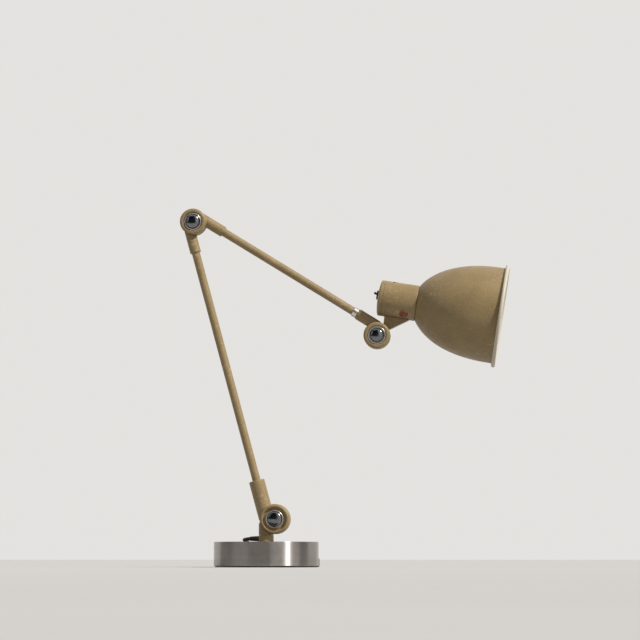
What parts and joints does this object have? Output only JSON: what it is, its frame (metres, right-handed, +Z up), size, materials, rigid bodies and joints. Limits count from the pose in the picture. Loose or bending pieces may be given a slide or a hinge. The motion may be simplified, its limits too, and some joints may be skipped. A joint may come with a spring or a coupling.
{
  "type": "desk lamp",
  "caption": "Architect desk lamp: two jointed tube arms on a turned steel disc carry a bell shade on a switched housing, with friction knuckles and a mains flex.",
  "frame": {"origin": "middle of the felt's underside, where the foot stands on the table", "axes": "+Z up, +X from the foot towards the shade in the arms' plane, +Y away from the side with the chrome caps"},
  "size_m": [0.4971, 0.2939, 0.5397],
  "materials": {
    "enamel": "hammered stoving enamel, khaki beige, satin",
    "turned_steel": "turned on the lathe, fine rings, clear",
    "felt": "pressed wool felt",
    "chrome": "polished, slightly worn",
    "nickel": "nickel plated, dulled",
    "zinc": "zinc plated",
    "fibre": "pressed fibre",
    "flex_cover": "dark brown rubber sheath",
    "bakelite": "dark red-brown moulded phenolic",
    "red_plastic": "moulded, red-brown",
    "porcelain": "glazed",
    "brass": "plain",
    "opal_glass": "opal, inside-frosted"
  },
  "bodies": {
    "base": {"base_felt": "felt", "base_disc": "turned_steel", "swivel_foot": "enamel", "flex_relief": "flex_cover", "flex_lead": "flex_cover", "flex_tail": "flex_cover", "flex_coil": "flex_cover", "coil_tie": "flex_cover", "plug_body": "bakelite", "plug_pin_1": "brass", "plug_pin_2": "brass"},
    "stand": {"base_knuckle": "enamel", "swivel_washer": "zinc", "swivel_bolt": "zinc", "base_pivot_friction_disc": "fibre", "base_pivot_washer": "zinc", "base_pivot_nut": "zinc"},
    "lower_arm": {"lower_arm_base_knuckle": "enamel", "lower_arm_tube": "enamel", "lower_arm_lead": "flex_cover", "lower_arm_elbow_knuckle": "enamel", "base_pivot_bolt": "zinc", "base_pivot_cap": "chrome", "base_pivot_ring": "nickel", "elbow_pivot_friction_disc": "fibre", "elbow_pivot_washer": "zinc", "elbow_pivot_nut": "zinc"},
    "upper_arm": {"upper_arm_elbow_knuckle": "enamel", "upper_arm_tube": "enamel", "upper_arm_lead": "flex_cover", "wrist_collar": "nickel", "elbow_pivot_bolt": "zinc", "elbow_pivot_cap": "chrome", "elbow_pivot_ring": "nickel"},
    "wrist": {"wrist_knuckle": "enamel", "wrist_pivot_friction_disc": "fibre", "wrist_pivot_washer": "zinc", "wrist_pivot_nut": "zinc"},
    "head": {"head_knuckle": "enamel", "bracket_screw_1": "zinc", "bracket_screw_2": "zinc", "housing": "enamel", "housing_end_cap": "enamel", "end_cap_screw_1": "zinc", "end_cap_screw_2": "zinc", "housing_grommet": "red_plastic", "switch_bush": "nickel", "switch_body": "bakelite", "lampholder": "porcelain", "shade_bell": "enamel", "shade_ring": "porcelain", "bulb_cap": "brass", "bulb_glass": "opal_glass", "wrist_pivot_bolt": "zinc", "wrist_pivot_cap": "chrome", "wrist_pivot_ring": "nickel"},
    "lever": {"switch_lever": "bakelite"}
  },
  "joints": [
    {"name": "base_swivel", "type": "hinge", "parent": "base", "child": "stand", "pos_m": [0, 0, 0.05], "axis": [0, 0, 1], "range_deg": [-170, 170]},
    {"name": "base_tilt", "type": "hinge", "parent": "stand", "child": "lower_arm", "pos_m": [0.0136, 0, 0.072], "axis": [0, -1, 0], "range_deg": [-42, 3]},
    {"name": "elbow", "type": "hinge", "parent": "lower_arm", "child": "upper_arm", "pos_m": [-0.11082, 0, 0.52006], "axis": [0, 1, 0], "range_deg": [-140, 34]},
    {"name": "wrist_swivel", "type": "hinge", "parent": "upper_arm", "child": "wrist", "pos_m": [-0.10504, 0, 0.52942], "axis": [0.8508, 0, -0.5255], "range_deg": [-90, 90]},
    {"name": "head_tilt", "type": "hinge", "parent": "wrist", "child": "head", "pos_m": [0.16656, 0, 0.34687], "axis": [0, -1, 0], "range_deg": [-120, 8]},
    {"name": "switch_toggle", "type": "hinge", "parent": "head", "child": "lever", "pos_m": [0.17179, 0, 0.4074], "axis": [0, -1, 0], "range_deg": [0, 30]}
  ]
}
